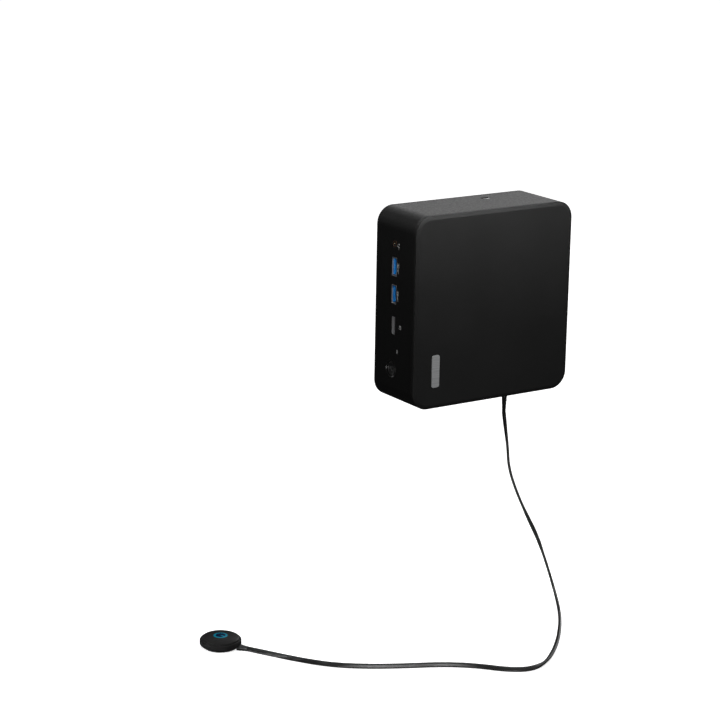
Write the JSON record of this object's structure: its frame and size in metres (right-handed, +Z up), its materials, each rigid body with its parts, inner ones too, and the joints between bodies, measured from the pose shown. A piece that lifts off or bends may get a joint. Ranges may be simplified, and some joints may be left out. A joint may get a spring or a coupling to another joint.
{
  "type": "mini pc",
  "caption": "Square mini PC on a keyhole wall plate, with ports and a power button on one side and a remote button puck on a thin flat cable.",
  "frame": {"origin": "centre of the wall plate's wall side, at the centre of its bolt patterns", "axes": "+Y into the wall or screen that the plate is bolted to, +Z up, +X to the right seen from in front of the front panel"},
  "size_m": [0.2743, 0.1597, 0.2958],
  "materials": {
    "cover_plastic": "fine satin texture",
    "frame_plastic": "fine grained matt",
    "base_plastic": "matt",
    "badge_metal": "satin",
    "foot_rubber": "matt",
    "screw_steel": "blackened",
    "bare_steel": "satin",
    "plate_paint": "fine powder coat",
    "board_laminate": "solder mask",
    "module_laminate": "solder mask",
    "chip_package": "matt",
    "brass": "bright",
    "copper": "satin",
    "fin_aluminium": "satin",
    "fan_plastic": "semi-matt",
    "socket_plastic": "matt",
    "port_metal": "nickel plated",
    "blue_plastic": "semi-matt",
    "clear_light": "clear",
    "button_plastic": "satin",
    "bezel_gloss": "gloss",
    "cable_rubber": "satin",
    "puck_plastic": "satin",
    "ring_light": "lit clear ring"
  },
  "bodies": {
    "root": {"aerials": "copper", "audio_jack": "socket_plastic", "audio_jack_ring": "copper", "base_cover": "base_plastic", "base_screws": "screw_steel", "battery_holder": "socket_plastic", "board_posts": "brass", "board_standoffs": "brass", "card_reader": "port_metal", "card_screws": "screw_steel", "card_sockets": "socket_plastic", "clock_battery": "bare_steel", "cold_plate": "copper", "cooler_screws": "screw_steel", "cover_badge": "badge_metal", "drive_tray": "bare_steel", "fan_housing": "fan_plastic", "fin_stack": "fin_aluminium", "heat_pipe": "copper", "link_cord": "cable_rubber", "link_plug": "cable_rubber", "link_socket": "port_metal", "link_strain_relief": "cable_rubber", "lock_plate": "bare_steel", "memory_chips": "chip_package", "memory_modules": "module_laminate", "memory_sockets": "socket_plastic", "motherboard": "board_laminate", "network_ports": "port_metal", "plate_studs": "screw_steel", "power_button_bezel": "bezel_gloss", "power_coils": "chip_package", "power_inlet": "socket_plastic", "power_switch": "socket_plastic", "processor": "chip_package", "puck_base": "puck_plastic", "puck_board": "board_laminate", "puck_pad": "foot_rubber", "puck_sleeve": "cable_rubber", "puck_switch": "socket_plastic", "rear_io_plate": "base_plastic", "rubber_feet": "foot_rubber", "side_frame": "frame_plastic", "ssd": "module_laminate", "status_light_pipe": "clear_light", "top_cover": "cover_plastic", "type_c_ports": "port_metal", "usb_front_shells": "port_metal", "usb_front_tongues": "blue_plastic", "usb_rear_shells": "port_metal", "usb_rear_tongues": "blue_plastic", "vesa_plate": "plate_paint", "video_ports": "port_metal", "wireless_card": "module_laminate"},
    "power_button": {"power_button": "button_plastic", "power_switch_plunger": "button_plastic"},
    "puck_button": {"puck_button": "puck_plastic", "puck_light_ring": "ring_light"},
    "fan_impeller": {"fan_impeller": "fan_plastic"}
  },
  "joints": [
    {"name": "power_button_press", "type": "slide", "parent": "root", "child": "power_button", "axis": [1, 0, 0], "range_m": [0, 0.0005], "stiffness_N_per_m": 1500},
    {"name": "link_button_press", "type": "slide", "parent": "root", "child": "puck_button", "axis": [0, 0, -1], "range_m": [0, 0.0006], "stiffness_N_per_m": 1500},
    {"name": "fan_spin", "type": "hinge", "parent": "root", "child": "fan_impeller", "pos_m": [0.01, -0.0415, -0.002], "axis": [0, 1, 0], "continuous": true}
  ]
}
